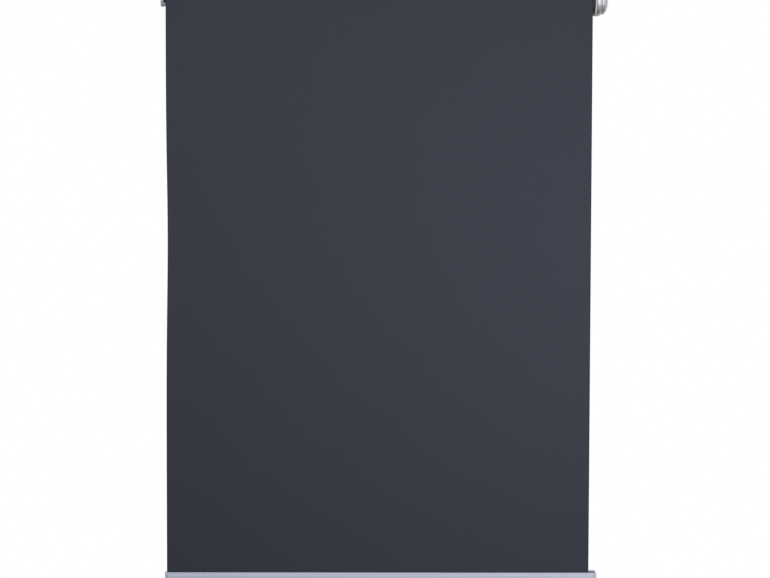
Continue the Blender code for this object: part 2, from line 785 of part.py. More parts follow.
def make_head_plug(plastic, parent):
    """A flanged plug that turns on the mandrel, with a pocket for the ratchet in its outer end."""
    outline = [
        (HEAD_PLUG_END, BORE),
        (POCKET_FLOOR, BORE),
        (POCKET_FLOOR, POCKET_RADIUS),
        (FLANGE_OUT, POCKET_RADIUS),
        (FLANGE_OUT, FLANGE_RADIUS - FLANGE_EDGE),
        (FLANGE_OUT - FLANGE_EDGE, FLANGE_RADIUS),
        (FLANGE_IN, FLANGE_RADIUS),
        (FLANGE_IN, PLUG_RADIUS),
        (HEAD_PLUG_END + PLUG_EDGE, PLUG_RADIUS),
        (HEAD_PLUG_END, PLUG_RADIUS - PLUG_EDGE),
    ]
    place("head_plug", turned("head_plug", outline), plastic, parent)


def make_ratchet_cover(finish, parent):
    disc = [
        (0, COVER_DISC_BORE),
        (0, POCKET_RADIUS - GAP),
        (COVER_DISC_THICK, POCKET_RADIUS - GAP),
        (COVER_DISC_THICK, COVER_DISC_BORE),
    ]
    place("ratchet_cover", turned("ratchet_cover", disc), finish, parent, (COVER_DISC_X, 0, 0))


def make_pawls(pawl_finish, pin_finish, parent):
    """Two pawls, lifted off the wheel, each on its own pin in the pocket's floor."""
    boss = PAWL_BOSS_RADIUS
    for number in (0, 1):
        (y, z), turn = pawl_frame(number)
        flare = math.degrees(math.asin(PAWL_HALF_WIDTH / boss))
        outline = arc((0, 0), boss, flare, 360 - flare, 12)
        outline += [(PAWL_LENGTH, -PAWL_HALF_WIDTH), (PAWL_LENGTH, PAWL_HALF_WIDTH * 0.4)]
        outline += [(PAWL_LENGTH - PAWL_HALF_WIDTH, PAWL_HALF_WIDTH)]
        bore = arc((0, 0), PAWL_PIN_RADIUS + GAP, 0, 330, 11)
        pawl = prism(f"pawl_{number + 1}", [outline, bore], RATCHET_THICK)
        turn_outline(pawl, turn - PAWL_CLEAR_ANGLE)
        place(f"pawl_{number + 1}", pawl, pawl_finish, parent, (RATCHET_X, y, z), YZ_TO_X)
        start = POCKET_FLOOR + GAP
        end = COVER_DISC_X - GAP
        pin = [(start, 0), (start, PAWL_PIN_RADIUS), (end, PAWL_PIN_RADIUS), (end, 0)]
        place(f"pawl_pin_{number + 1}", turned("pawl_pin", pin, 12), pin_finish, parent, (0, y, z))


def make_spring_driver(finish, parent):
    """A plug fixed inside the tube, slotted for the spring's other tail."""
    outline = [
        (0, BORE),
        (0, PLUG_RADIUS - PLUG_EDGE),
        (PLUG_EDGE, PLUG_RADIUS),
        (DRIVER_LENGTH, PLUG_RADIUS),
        (DRIVER_LENGTH, BORE),
    ]
    driver = place("spring_driver", turned("spring_driver", outline), finish, parent, (DRIVER_X, 0, 0))
    cut_tail_slot(driver, "driver_slot", DRIVER_X + DRIVER_LENGTH + SPRING_OFF_COLLARS / 2 - SPRING_TAIL)


# ---------------------------------------------------------------- cloth


def make_fabric_hanging(finish):
    """The cloth from the roller's front down to the bar."""
    back = AXIS_Y + CLOTH_BACK_Y
    outline = box_outline(back - CLOTH_THICK, back, BAR_TOP + GAP, 0)
    place(
        "fabric_hanging",
        prism("fabric_hanging", [outline], CLOTH_WIDTH),
        finish,
        location=(-CLOTH_EDGE, 0, 0),
        rotation=YZ_TO_X,
    )


# ---------------------------------------------------------------- bottom bar, drawn with its top at 0


def bar_outside():
    """The bar's outer outline without its slot, from the slot's left lip round to its right lip."""
    half = BAR_DEPTH / 2
    top, foot, set_back = BAR_TOP_ROUND, BAR_FOOT_ROUND, STEP_DEPTH - half
    return (
        arc((set_back + top, -top), top, 90, 180, 4)
        + [(set_back, -STEP_DROP), (-half, -STEP_DROP - STEP_HEIGHT)]
        + arc((-half + foot, -BAR_HEIGHT + foot), foot, 180, 270, 5)
        + arc((half - foot, -BAR_HEIGHT + foot), foot, 270, 360, 5)
        + arc((half - top, -top), top, 0, 90, 4)
    )


def chamber(shrink=0.0):
    """The closed hollow below the slot, or what fits in it."""
    half = BAR_DEPTH / 2 - BAR_WALL - shrink
    top = -(SLOT_DEPTH + 2 * CHANNEL_RADIUS + BAR_WALL) - shrink
    return rounded_box(-half, half, -BAR_HEIGHT + BAR_WALL + shrink, top, CHAMBER_ROUND - shrink, 3)


def channel_depth():
    """From the bar's top to the middle of the round channel below its slot."""
    across = math.asin(SLOT_HALF_WIDTH / CHANNEL_RADIUS)
    return SLOT_DEPTH + CHANNEL_RADIUS * math.cos(across)


def make_bottom_bar(finish, parent):
    """An extrusion with a closed hollow, and an undercut slot along its top for the cloth's hem."""
    across = math.degrees(math.asin(SLOT_HALF_WIDTH / CHANNEL_RADIUS))
    slot = [(SLOT_HALF_WIDTH, 0)]
    slot += arc((0, -channel_depth()), CHANNEL_RADIUS, 90 - across, -270 + across, 12)
    slot += [(-SLOT_HALF_WIDTH, 0)]
    bar = prism("bottom_bar", [bar_outside() + slot, chamber()], BAR_RIGHT - BAR_LEFT)
    return place("bottom_bar", bar, finish, parent, (BAR_LEFT, 0, 0), YZ_TO_X)


def make_bar_cap(name, finish, parent, side):
    """An end cap with rounded edges and a spigot in the bar's hollow. side is -1 or 1, as X."""
    end = BAR_LEFT if side < 0 else BAR_RIGHT
    start = end - BAR_CAP_THICK - GAP if side < 0 else end + GAP
    cap = place(name, prism(name, [bar_outside()], BAR_CAP_THICK), finish, parent, (start, 0, 0), YZ_TO_X)
    outer_edge = 0.0 if side < 0 else BAR_CAP_THICK
    mark_outer_edges(cap, outer_edge)
    spigot_start = end - GAP - WELD if side < 0 else end - SPIGOT_LENGTH
    spigot = prism("spigot", [chamber(GAP)], SPIGOT_LENGTH + GAP + WELD)
    boolean(cap, f"spigot_{name}", spigot, "UNION", (spigot_start, 0, 0), YZ_TO_X)


def mark_outer_edges(cap, height):
    """Rounds only the edges of the cap's outer face, which lies at this height along its extrusion."""
    form = bmesh.new()
    form.from_mesh(cap.data)
    weights = form.edges.layers.float.new("bevel_weight_edge")
    for edge in form.edges:
        flat = all(abs(vert.co.z - height) < 1e-6 for vert in edge.verts)
        corner = len(edge.link_faces) == 2 and edge.calc_face_angle(0) > math.radians(40)
        edge[weights] = 1.0 if flat and corner else 0.0
    form.to_mesh(cap.data)
    form.free()
    change = cap.modifiers.new("round", "BEVEL")
    change.width = BAR_CAP_ROUND
    change.segments = 4
    change.limit_method = "WEIGHT"


def make_hem_strip(finish, parent):
    """A welted strip on the cloth's lower edge, held in the bar's channel."""
    fin = CLOTH_THICK
    lean = math.degrees(math.asin(fin / STRIP_RADIUS))
    outline = arc((0, -channel_depth()), STRIP_RADIUS, 90 + lean, 450 - lean, 14)
    outline += [(fin, 0), (-fin, 0)]
    length = CLOTH_WIDTH - 2 * STRIP_SHORTER
    place(
        "hem_strip",
        prism("hem_strip", [outline], length),
        finish,
        parent,
        (-length / 2, 0, 0),
        YZ_TO_X,
    )


def make_slot_filler(finish, parent):
    """Closes the slot past the cloth: a tongue in the channel and a rounded cap above it."""
    start = CLOTH_EDGE + FILLER_OFF_CLOTH
    half, high = FILLER_HALF_WIDTH, FILLER_HEIGHT
    cap = [(half, GAP)] + arc((half - FILLER_ROUND, high - FILLER_ROUND), FILLER_ROUND, 0, 90, 3)
    cap += arc((-half + FILLER_ROUND, high - FILLER_ROUND), FILLER_ROUND, 90, 180, 3) + [(-half, GAP)]
    filler = place(
        "slot_filler",
        prism("slot_filler", [cap], FILLER_LENGTH),
        finish,
        parent,
        (start, 0, 0),
        YZ_TO_X,
    )
    bevel(filler, FILLER_EDGE, 2)
    neck = SLOT_HALF_WIDTH - GAP
    lean = math.degrees(math.asin(neck / STRIP_RADIUS))
    tongue = arc((0, -channel_depth()), STRIP_RADIUS, 90 + lean, 450 - lean, 12)
    tongue += [(neck, high / 2), (-neck, high / 2)]
    reach = BAR_RIGHT - start - GAP
    boolean(filler, "filler_tongue", prism("tongue", [tongue], reach), "UNION", (start, 0, 0), YZ_TO_X)


# ---------------------------------------------------------------- pull grip


def make_pull_grip(finish, parent):
    """A moulded base under the bar with a finger tab that ends in a lip."""
    half = GRIP_LENGTH / 2
    width = BAR_DEPTH / 2 - GRIP_NARROWER
    base = prism("pull_grip", [rounded_box(-half, half, -width, width, GRIP_CORNER, 5)], GRIP_BASE)
    grip = place("pull_grip", base, finish, parent, (BAR_MID, 0, GRIP_TOP - GRIP_BASE))
    bevel(grip, GRIP_EDGE, 2)
    thick = GRIP_TAB_THICK / 2
    lip = GRIP_LIP_RADIUS
    tab = [(thick, 0), (-thick, 0)]
    tab += arc((0, -GRIP_DROP + lip), lip, 142, 398, 10)
    boolean(
        grip,
        "grip_tab",
        turn_ends(prism("tab", [tab], GRIP_TAB_LENGTH)),
        "UNION",
        (BAR_MID - GRIP_TAB_LENGTH / 2, 0, GRIP_TOP - GRIP_BASE / 2),
        YZ_TO_X,
    )
    return grip


def make_grip_screws(finish, parent, bar, grip):
    """A screw at each end of the grip's base, up into the bar, and the holes for them in both."""
    down = (0, -math.pi / 2, 0)
    for number, side in enumerate((-1, 1)):
        x = BAR_MID + side * GRIP_SCREW_SPACING / 2
        screw = pan_head_screw(
            "screw",
            GRIP_SCREW_RADIUS,
            GRIP_SCREW_HEAD_RADIUS,
            GRIP_SCREW_HEAD_HEIGHT,
            GRIP_SCREW_LENGTH,
        )
        place(f"grip_screw_{number + 1}", screw, finish, parent, (x, 0, GRIP_TOP - GRIP_BASE - GAP), down)
        for target, bottom, top in (
            (grip, GRIP_TOP - 2 * GRIP_BASE, GRIP_TOP + GRIP_BASE),
            (bar, -BAR_HEIGHT - BAR_WALL, -BAR_HEIGHT + 2 * BAR_WALL),
        ):
            hole = drill(GRIP_SCREW_RADIUS + GAP, top - bottom, 12)
            boolean(target, f"hole_{number}_{target.name}", hole, "DIFFERENCE", (x, 0, bottom), down)


def turn_ends(mesh):
    """Slopes the two ends of the tab so that it is shorter at its lip."""
    half = GRIP_TAB_LENGTH / 2
    for vert in mesh.vertices:
        share = min(max(-vert.co.y / GRIP_DROP, 0), 1)
        vert.co.z = half + (vert.co.z - half) * (1 - GRIP_END_SLOPE * share)
    return mesh


# ---------------------------------------------------------------- assembly

clear_scene()

CLOTH = material("anthracite_cloth", (0.045, 0.050, 0.062), 0.85)
WELT = material("dark_welt", (0.035, 0.037, 0.042), 0.5)
PALE = material("pale_grey_plastic", (0.42, 0.43, 0.44), 0.45)
PAINTED = material("pale_grey_paint", (0.50, 0.50, 0.51), 0.4)
CHROME = material("chrome", (0.80, 0.80, 0.82), 0.08, 1.0)
STEEL = material("zinc_plated_steel", (0.60, 0.61, 0.62), 0.32, 1.0)
SPRING_STEEL = material("spring_steel", (0.35, 0.36, 0.38), 0.35, 1.0)
DARK = material("dark_grey_plastic", (0.055, 0.056, 0.060), 0.5)
ANODISED = material("anodised_aluminium", (0.58, 0.60, 0.64), 0.34, 1.0)
GREY = material("grey_plastic", (0.34, 0.35, 0.38), 0.45)
TAPE = material("white_tape", (0.75, 0.75, 0.72), 0.6)

fixed_axis = empty("fixed_axis", (0, AXIS_Y, 0))
roller_axis = empty("roller_axis", (0, AXIS_Y, 0))
bar_slide = empty("bar_slide", (0, BAR_Y, BAR_TOP))

make_bracket_left(PALE)
make_bracket_right(PAINTED)
make_bracket_cover(CHROME)
make_wall_screws(STEEL)
make_mandrel(STEEL, fixed_axis)
make_ratchet_wheel(STEEL, fixed_axis)
make_spring_anchor(STEEL, fixed_axis)
make_torsion_spring(SPRING_STEEL, fixed_axis)

make_tube(ANODISED, roller_axis)
make_tape(TAPE, roller_axis)
make_fabric_roll(CLOTH, roller_axis)
make_idle_plug(DARK, roller_axis)
make_pin_retainer(STEEL, roller_axis)
make_idle_pin(DARK, roller_axis)
make_pin_spring(SPRING_STEEL, roller_axis)
make_head_plug(DARK, roller_axis)
make_ratchet_cover(DARK, roller_axis)
make_pawls(STEEL, STEEL, roller_axis)
make_spring_driver(DARK, roller_axis)

make_fabric_hanging(CLOTH)

bar = make_bottom_bar(ANODISED, bar_slide)
make_bar_cap("bar_cap_left", GREY, bar_slide, -1)
make_bar_cap("bar_cap_right", GREY, bar_slide, 1)
make_hem_strip(WELT, bar_slide)
make_slot_filler(GREY, bar_slide)
grip = make_pull_grip(PALE, bar_slide)
make_grip_screws(STEEL, bar_slide, bar, grip)
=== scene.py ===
# %% [markdown]
# # A roller blind, from its cloth to its chromed end cover
# This lesson dresses a finished mechanical model of a roller blind. The model gives every part's place and
# how it moves. Here each visible part gets its real surface, or a finer mesh that stands for the plain one.
# All lengths are in metres. +Z is up, +Y points into the wall, and the roller lies along X.

# %% Load the mechanical model
import json
import math

import bpy
from mathutils import Matrix, Vector


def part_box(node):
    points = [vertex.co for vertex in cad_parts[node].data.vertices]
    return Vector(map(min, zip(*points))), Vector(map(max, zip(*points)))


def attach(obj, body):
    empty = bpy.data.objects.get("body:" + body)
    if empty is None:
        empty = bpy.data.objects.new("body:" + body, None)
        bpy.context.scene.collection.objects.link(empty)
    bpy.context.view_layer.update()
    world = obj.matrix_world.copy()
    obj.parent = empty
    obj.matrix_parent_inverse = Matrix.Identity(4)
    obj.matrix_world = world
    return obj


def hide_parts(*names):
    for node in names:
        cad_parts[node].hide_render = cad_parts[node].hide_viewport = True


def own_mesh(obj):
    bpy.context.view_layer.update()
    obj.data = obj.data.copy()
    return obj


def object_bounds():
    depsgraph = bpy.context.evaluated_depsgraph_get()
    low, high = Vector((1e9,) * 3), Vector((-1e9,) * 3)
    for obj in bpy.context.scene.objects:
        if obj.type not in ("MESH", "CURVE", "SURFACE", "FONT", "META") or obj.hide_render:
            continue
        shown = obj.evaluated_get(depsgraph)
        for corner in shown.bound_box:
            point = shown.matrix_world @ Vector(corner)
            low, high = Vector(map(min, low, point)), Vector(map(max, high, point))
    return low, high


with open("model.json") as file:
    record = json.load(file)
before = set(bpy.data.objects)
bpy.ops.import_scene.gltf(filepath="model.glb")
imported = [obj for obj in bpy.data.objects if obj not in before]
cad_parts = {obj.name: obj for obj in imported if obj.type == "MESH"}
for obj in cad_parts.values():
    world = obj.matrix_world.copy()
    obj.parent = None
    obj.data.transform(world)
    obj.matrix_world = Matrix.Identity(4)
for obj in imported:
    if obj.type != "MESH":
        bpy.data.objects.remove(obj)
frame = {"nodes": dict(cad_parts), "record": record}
cad_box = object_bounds()
nodes = frame["nodes"]
print("parts in the model:", len(nodes))
print("its size in mm:", [round(1000 * side) for side in cad_box[1] - cad_box[0]])

# %% [markdown]
# ## Camera
# The blind is seen from over two and a half metres away through a long lens, so its sides look almost
# parallel. The camera looks down by less than three degrees, which makes the blind narrower towards its
# bottom. It is also a touch off level and off square, as a camera on a tripod is. Three turns multiplied
# together say this clearly: first about the lens, then down, then to the side.

# %% Make the camera
CAMERA_AT = (-0.0123, -2.7076, -0.2807)
LOOK_DOWN = math.radians(2.697)
OFF_LEVEL = math.radians(0.165)
OFF_SQUARE = math.radians(-0.460)
LENS_LENGTH = 87.77  # in millimetres, as the camera wants it
turned = Matrix.Rotation(math.pi / 2 - LOOK_DOWN, 3, "X") @ Matrix.Rotation(OFF_LEVEL, 3, "Z")
turned = Matrix.Rotation(OFF_SQUARE, 3, "Z") @ turned
bpy.ops.object.camera_add(location=CAMERA_AT, rotation=turned.to_euler())
camera = bpy.context.object
camera.data.sensor_width = 36
camera.data.lens = LENS_LENGTH
camera.data.clip_end = 60
bpy.context.scene.camera = camera

# %% [markdown]
# ## Daylight studio
# The room is plain white, but it does three jobs, so Light Path sorts the rays. The camera sees pure white.
# Matt surfaces get a weak even fill. Mirror rays see a room that is bright in front and above and darker
# towards the ground and the sides, or chrome would look like white plastic.

# %% Build the room
FILL = 0.23
MIRROR_LEVEL = 1.1
MIRRORED_BY_HEIGHT = [
    (0.0, 0.13), (0.03, 0.20), (0.07, 0.30), (0.15, 0.40), (0.23, 0.44),
    (0.29, 0.66), (0.36, 0.93), (0.42, 1.0), (0.54, 1.0), (1.0, 0.95),
]
MIRRORED_BY_SIDE = [
    (0.0, 0.30), (0.30, 0.38), (0.42, 0.52), (0.50, 0.80),
    (0.58, 1.0), (0.70, 0.95), (0.84, 0.68), (1.0, 0.46),
]
world = bpy.data.worlds.new("studio")
bpy.context.scene.world = world
world.use_nodes = True
room = world.node_tree
direction = room.nodes.new("ShaderNodeTexCoord")
axes = room.nodes.new("ShaderNodeSeparateXYZ")
room.links.new(direction.outputs["Generated"], axes.inputs[0])


def room_ramp(axis, stops):
    """Brightness of the mirrored room along one axis, from one side at 0 to the other at 1."""
    share = room.nodes.new("ShaderNodeMapRange")
    share.inputs["From Min"].default_value = -1
    room.links.new(axes.outputs[axis], share.inputs["Value"])
    ramp = room.nodes.new("ShaderNodeValToRGB")
    while len(ramp.color_ramp.elements) < len(stops):
        ramp.color_ramp.elements.new(0.5)
    for stop, (place, level) in zip(ramp.color_ramp.elements, stops):
        stop.position = place
        stop.color = (level, level, level, 1)
    room.links.new(share.outputs["Result"], ramp.inputs["Fac"])
    return ramp.outputs["Color"]


def room_light(strength, colour=None):
    """A Background shader."""
    made = room.nodes.new("ShaderNodeBackground")
    made.inputs["Color"].default_value = (1, 1, 1, 1)
    made.inputs["Strength"].default_value = strength
    if colour:
        room.links.new(colour, made.inputs["Color"])
    return made.outputs[0]


product = room.nodes.new("ShaderNodeMix")
product.data_type = "RGBA"
product.blend_type = "MULTIPLY"
product.inputs["Factor"].default_value = 1
room.links.new(room_ramp("Z", MIRRORED_BY_HEIGHT), product.inputs[6])
room.links.new(room_ramp("X", MIRRORED_BY_SIDE), product.inputs[7])
rays = room.nodes.new("ShaderNodeLightPath")
choice = room_light(FILL)
mirrored_room = room_light(MIRROR_LEVEL, product.outputs[2])
for kind, seen in (("Is Glossy Ray", mirrored_room), ("Is Camera Ray", room_light(1.0))):
    mix = room.nodes.new("ShaderNodeMixShader")
    room.links.new(rays.outputs[kind], mix.inputs["Fac"])
    room.links.new(choice, mix.inputs[1])
    room.links.new(seen, mix.inputs[2])
    choice = mix.outputs[0]
room.links.new(choice, room.nodes["World Output"].inputs["Surface"])
bpy.context.scene.view_settings.view_transform = "Standard"
print("room:", len(room.nodes), "nodes")

# %% [markdown]
# ### Two soft lights
# The cloth is brightest at its right and darkest at its lower left. A light falls off with the square of its
# distance, so lights that stand near give that slope, and far ones never could. Two square area lights, one
# low at the right and one higher at the left, share the work. Only matt surfaces see them.

# %% Place the lights
LIT_POINT = Vector((0.15, 0, -0.22))
LIGHT_SIZE = 0.32


def soft_light(name, location, power):
    """A square area light that faces the cloth."""
    turn = (LIT_POINT - Vector(location)).to_track_quat("-Z", "Y").to_euler()
    bpy.ops.object.light_add(type="AREA", location=location, rotation=turn)
    light = bpy.context.object
    light.name = name
    light.data.size = LIGHT_SIZE
    light.data.energy = power
    light.visible_glossy = False
    light.visible_camera = False


soft_light("right_light", (0.547, -1.011, -0.379), 7.2)
soft_light("left_light", (-0.571, -1.080, 0.100), 4.6)

# %% [markdown]
# ## Floor
# A pale floor lies as far below the blind as below a window. It isn't part of the blind.
# Chrome would mirror it as a bright band, so it is hidden from mirror rays.

# %% Lay the floor
FLOOR_BELOW = 0.85
FLOOR_RADIUS = 1.6
bpy.ops.object.select_all(action="DESELECT")
bpy.ops.mesh.primitive_circle_add(
    vertices=96, radius=FLOOR_RADIUS, fill_type="NGON", location=(0, 0, cad_box[0].z - FLOOR_BELOW)
)
floor = bpy.context.object
floor.name = "floor"
floor.visible_glossy = False
paint = bpy.data.materials.new("pale_floor")
paint.use_nodes = True
paint.node_tree.nodes["Principled BSDF"].inputs["Base Color"].default_value = (0.82, 0.82, 0.81, 1)
paint.node_tree.nodes["Principled BSDF"].inputs["Roughness"].default_value = 0.7
floor.data.materials.append(paint)
print("floor at z =", round(floor.location.z, 3))

# %% [markdown]
# ## Effects that several finishes share
# Some surface effects turn up on many parts, so each is built once as a node group and placed in every
# material that needs it. A group is like a tool: it has inputs to set and gives back a value. These groups
# give grain, a light line on edges that is partly wear and partly painted highlight, and the crossing threads
# of cloth.

# %% A helper for node groups


def new_group(name, inputs, outputs):
    """An empty node group with float and vector sockets. Returns the group, its nodes and its two ends."""
    group = bpy.data.node_groups.new(name, "ShaderNodeTree")
    for label, kind, value in inputs:
        socket = group.interface.new_socket(label, in_out="INPUT", socket_type=kind)
        if value is not None:
            socket.default_value = value
    for label in outputs:
        group.interface.new_socket(label, in_out="OUTPUT", socket_type="NodeSocketFloat")
    start = group.nodes.new("NodeGroupInput")
    end = group.nodes.new("NodeGroupOutput")
    return group, start, end


def wire(group, source, target):
    """Links an output to an input."""
    group.links.new(source, target)


def math_node(group, operation, first, second=None, clamp=False):
    """A Math node. Its inputs are sockets or numbers."""
    made = group.nodes.new("ShaderNodeMath")
    made.operation = operation
    made.use_clamp = clamp
    for slot, value in enumerate((first, second)):
        if value is None:
            continue
        if isinstance(value, (int, float)):
            made.inputs[slot].default_value = value
        else:
            group.links.new(value, made.inputs[slot])
    return made.outputs[0]


print("helpers ready")

# %% [markdown]
# ### Grain
# Moulded plastic, powder paint and drawn metal all have a fine grain. It is noise, and what tells them apart
# is its size in each direction: round specks for plastic, long hairs for metal drawn through a die. So the
# group takes a size for each axis.

# %% Group: grain
grain_group, start, end = new_group(
    "fine_grain",
    [
        ("Place", "NodeSocketVector", None),
        ("Size", "NodeSocketVector", (1000.0, 1000.0, 1000.0)),
        ("Roughness", "NodeSocketFloat", 0.6),
    ],
    ["Grain", "Blotch"],
)
stretched = grain_group.nodes.new("ShaderNodeVectorMath")
stretched.operation = "MULTIPLY"
wire(grain_group, start.outputs["Place"], stretched.inputs[0])
wire(grain_group, start.outputs["Size"], stretched.inputs[1])
for label, factor, detail in (("Grain", 1.0, 3.0), ("Blotch", 0.06, 2.0)):
    noise = grain_group.nodes.new("ShaderNodeTexNoise")
    noise.inputs["Scale"].default_value = factor
    noise.inputs["Detail"].default_value = detail
    wire(grain_group, stretched.outputs[0], noise.inputs["Vector"])
    wire(grain_group, start.outputs["Roughness"], noise.inputs["Roughness"])
    wire(grain_group, noise.outputs["Fac"], end.inputs[label])
print("grain group:", len(grain_group.nodes), "nodes")

# %% [markdown]
# ### Worn edges, partly painted highlight
# Hands and cleaning polish the edges of a part first. The thin light line painted there is partly that wear
# and partly a painted highlight. A Bevel node bends the normal near an edge. Where the bent normal and the
# true one differ, there is an edge. Some noise breaks the line up.

# %% Group: worn edges and painted highlight
edge_group, start, end = new_group(
    "worn_edges_and_highlight",
    [("Place", "NodeSocketVector", None), ("Breaks", "NodeSocketFloat", 260.0)],
    ["Edge"],
)
bent = edge_group.nodes.new("ShaderNodeBevel")
bent.samples = 4
bent.inputs["Radius"].default_value = 0.0006
true = edge_group.nodes.new("ShaderNodeNewGeometry")
match = edge_group.nodes.new("ShaderNodeVectorMath")
match.operation = "DOT_PRODUCT"
wire(edge_group, bent.outputs[0], match.inputs[0])
wire(edge_group, true.outputs["Normal"], match.inputs[1])
differ = math_node(edge_group, "SUBTRACT", 1.0, match.outputs["Value"], clamp=True)
strong = math_node(edge_group, "MULTIPLY", differ, 5.0, clamp=True)
noise = edge_group.nodes.new("ShaderNodeTexNoise")
wire(edge_group, start.outputs["Place"], noise.inputs["Vector"])
wire(edge_group, start.outputs["Breaks"], noise.inputs["Scale"])
broken = math_node(edge_group, "MULTIPLY", strong, noise.outputs["Fac"])
wire(edge_group, broken, end.inputs["Edge"])
print("edge group:", len(edge_group.nodes), "nodes")

# %% [markdown]
# ### Plain weave
# Blind cloth is a plain weave: each thread goes over one thread and under the next, both ways. The product of
# two sine waves has just that chequer of bumps. Long thin noise along each direction makes some threads a
# little thicker or lighter than the rest, as spun yarn is.

# %% Group: plain weave
weave_group, start, end = new_group(
    "plain_weave",
    [("Place", "NodeSocketVector", None), ("Threads per metre", "NodeSocketFloat", 2200.0)],
    ["Height", "Yarn"],
)
parts = weave_group.nodes.new("ShaderNodeSeparateXYZ")
wire(weave_group, start.outputs["Place"], parts.inputs[0])
waves = []
for axis in ("X", "Z"):
    turns = math_node(weave_group, "MULTIPLY", parts.outputs[axis], start.outputs["Threads per metre"])
    waves.append(math_node(weave_group, "SINE", math_node(weave_group, "MULTIPLY", turns, math.pi)))
crossing = math_node(weave_group, "MULTIPLY", waves[0], waves[1])
across = math_node(weave_group, "MULTIPLY", math_node(weave_group, "ABSOLUTE", waves[0]), 0.5)
raised = math_node(weave_group, "ADD", across, math_node(weave_group, "MULTIPLY", crossing, 0.5))
wire(weave_group, raised, end.inputs["Height"])
yarns = []
for size in ((1400.0, 1.0, 14.0), (14.0, 1.0, 1400.0)):
    along = weave_group.nodes.new("ShaderNodeVectorMath")
    along.operation = "MULTIPLY"
    along.inputs[1].default_value = size
    wire(weave_group, start.outputs["Place"], along.inputs[0])
    noise = weave_group.nodes.new("ShaderNodeTexNoise")
    noise.inputs["Scale"].default_value = 1.0
    noise.inputs["Detail"].default_value = 2.0
    wire(weave_group, along.outputs[0], noise.inputs["Vector"])
    yarns.append(noise.outputs["Fac"])
both = math_node(weave_group, "ADD", yarns[0], yarns[1])
wire(weave_group, math_node(weave_group, "MULTIPLY", both, 0.5), end.inputs["Yarn"])
print("weave group:", len(weave_group.nodes), "nodes")

# %% [markdown]
# ## Finishes
# Each finish starts from a Principled shader with its main colour, and the groups then vary that colour, the
# roughness and the fine relief. The places come from Object coordinates, which are real metres on the part.

# %% A helper for materials


def new_finish(name, roughness, metallic=0.0):
    """A new material, its shader, and the socket that gives the place on the part."""
    made = bpy.data.materials.new(name)
    made.use_nodes = True
    shader = made.node_tree.nodes["Principled BSDF"]
    shader.inputs["Roughness"].default_value = roughness
    shader.inputs["Metallic"].default_value = metallic
    place = made.node_tree.nodes.new("ShaderNodeTexCoord")
    return made, shader, place.outputs["Object"]


def put_group(made, group, place, **values):
    """Places a node group in a material and sets its inputs."""
    node = made.node_tree.nodes.new("ShaderNodeGroup")
    node.node_tree = group
    made.node_tree.links.new(place, node.inputs["Place"])
    for label, value in values.items():
        node.inputs[label.replace("_", " ")].default_value = value
    return node


def blend_colours(made, factor, first, second):
    """A Mix node between two colours, either of them a colour or a socket. Returns its output."""
    mix = made.node_tree.nodes.new("ShaderNodeMix")
    mix.data_type = "RGBA"
    made.node_tree.links.new(factor, mix.inputs["Factor"])
    for socket, value in ((mix.inputs[6], first), (mix.inputs[7], second)):
        if isinstance(value, tuple):
            socket.default_value = (*value, 1)
        else:
            made.node_tree.links.new(value, socket)
    return mix.outputs[2]


def spread(made, value, low, high, low_in=0.3, high_in=0.7):
    """Maps a value that mostly lies from low_in to high_in onto low to high."""
    node = made.node_tree.nodes.new("ShaderNodeMapRange")
    made.node_tree.links.new(value, node.inputs["Value"])
    for label, number in zip(("From Min", "From Max", "To Min", "To Max"), (low_in, high_in, low, high)):
        node.inputs[label].default_value = number
    return node.outputs["Result"]


def relief(made, shader, height, depth, strength=1.0):
    """Turns a height into fine relief, depth metres deep."""
    bump = made.node_tree.nodes.new("ShaderNodeBump")
    bump.inputs["Strength"].default_value = strength
    bump.inputs["Distance"].default_value = depth
    made.node_tree.links.new(height, bump.inputs["Height"])
    made.node_tree.links.new(bump.outputs[0], shader.inputs["Normal"])


print("material helpers ready")

# %% [markdown]
# ### Cloth
# The face is a matt anthracite weave. Along its two side edges a darker line a millimetre wide is painted
# shade.
# The reverse has a pale reflective coating that keeps the sun's heat out, so the same weave shows
# through it only faintly.

# %% Finishes of the cloth
CLOTH_COLOUR = (0.0410, 0.0455, 0.0605)
CLOTH_LIGHT = (0.0465, 0.0515, 0.0680)
EDGE_SHADE_COLOUR = (0.0280, 0.0300, 0.0370)
cloth_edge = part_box("fabric_roll")[1].x

cloth_face, shader, place = new_finish("cloth_face", 0.9)
shader.inputs["Specular IOR Level"].default_value = 0.25
shader.inputs["Sheen Weight"].default_value = 0.12
shader.inputs["Sheen Roughness"].default_value = 0.5
weave = put_group(cloth_face, weave_group, place)
yarn = spread(cloth_face, weave.outputs["Yarn"], 0.0, 1.0)
tone = blend_colours(cloth_face, yarn, CLOTH_COLOUR, CLOTH_LIGHT)
sides = cloth_face.node_tree.nodes.new("ShaderNodeSeparateXYZ")
cloth_face.node_tree.links.new(place, sides.inputs[0])
from_middle = math_node(cloth_face.node_tree, "ABSOLUTE", sides.outputs["X"])
# Painted shade: the cloth's colour turns darker in a line a millimetre wide along its two side edges.
near_edge = spread(cloth_face, from_middle, 0.0, 1.0, cloth_edge - 0.0016, cloth_edge - 0.0006)
edge_shaded = blend_colours(cloth_face, near_edge, tone, EDGE_SHADE_COLOUR)
cloth_face.node_tree.links.new(edge_shaded, shader.inputs["Base Color"])
relief(cloth_face, shader, weave.outputs["Height"], 0.00006, 0.5)

cloth_reverse, shader, place = new_finish("cloth_reverse", 0.55)
weave = put_group(cloth_reverse, weave_group, place)
yarn = spread(cloth_reverse, weave.outputs["Yarn"], 0.0, 1.0)
tone = blend_colours(cloth_reverse, yarn, (0.50, 0.51, 0.53), (0.58, 0.59, 0.61))
cloth_reverse.node_tree.links.new(tone, shader.inputs["Base Color"])
relief(cloth_reverse, shader, weave.outputs["Height"], 0.00003, 0.5)
print("cloth finishes:", cloth_face.name, cloth_reverse.name)

